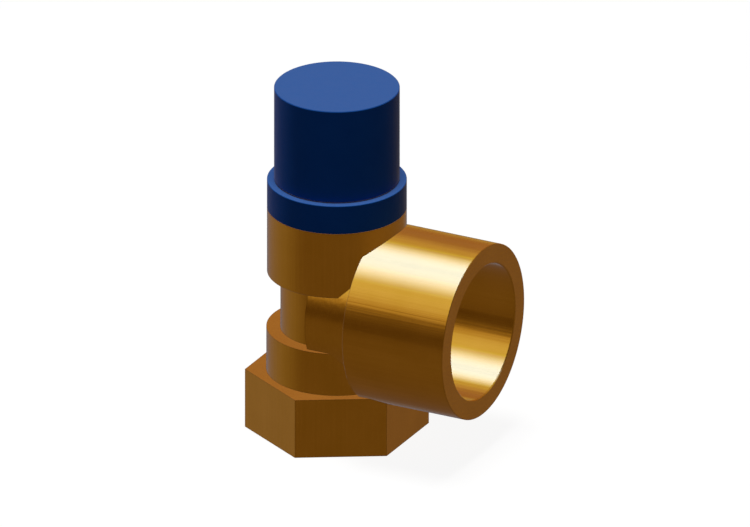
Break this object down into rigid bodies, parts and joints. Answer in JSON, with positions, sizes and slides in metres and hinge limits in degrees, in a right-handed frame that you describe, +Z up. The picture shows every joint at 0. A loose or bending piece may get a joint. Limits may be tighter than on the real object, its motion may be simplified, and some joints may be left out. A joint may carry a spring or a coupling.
{
  "type": "safety valve",
  "caption": "Angle safety valve: brass body with hexagonal female inlet below and larger female outlet at the side, spring-loaded diaphragm disc, and a blue twist cap that lifts it.",
  "frame": {"origin": "on the inlet's axis, in the plane of the inlet's end face", "axes": "+Z up along the inlet's axis to the cap, +X out along the outlet's axis"},
  "size_m": [0.0536, 0.0404, 0.0812],
  "materials": {
    "brass": "satin",
    "turned_brass": "polished",
    "stainless": "turned",
    "plated_steel": "zinc plated",
    "spring_steel": "satin",
    "rubber": "matte",
    "gasket": "matte",
    "white_plastic": "matte",
    "blue_plastic": "satin"
  },
  "bodies": {
    "housing": {"valve_body": "brass", "seat_gasket": "gasket", "seat_nozzle": "stainless", "diaphragm": "rubber", "slip_ring": "stainless", "spring": "spring_steel", "upper_spring_plate": "plated_steel", "adjusting_screw": "turned_brass", "guide_bush": "white_plastic", "lock_ring": "turned_brass", "bonnet": "blue_plastic"},
    "stem": {"seal_screw": "plated_steel", "seal_washer": "turned_brass", "disc_seal": "rubber", "disc_holder": "turned_brass", "spring_plate": "turned_brass", "nut_washer": "plated_steel", "spindle_nut": "plated_steel", "spindle": "stainless", "lift_nut": "plated_steel"},
    "cap": {"cap": "blue_plastic"}
  },
  "joints": [
    {"name": "stem_lift", "type": "slide", "parent": "housing", "child": "stem", "axis": [0, 0, 1], "range_m": [0, 0.0024], "stiffness_N_per_m": 1500, "springref_m": -0.001, "deforming": ["spring", "diaphragm"]},
    {"name": "cap_turn", "type": "hinge", "parent": "stem", "child": "cap", "pos_m": [0, 0, 0.07], "axis": [0, 0, 1], "range_deg": [0, 80]}
  ],
  "couplings": [
    {"joint": "cap_turn", "follows": "stem_lift", "rad_per_m": 581.78}
  ]
}
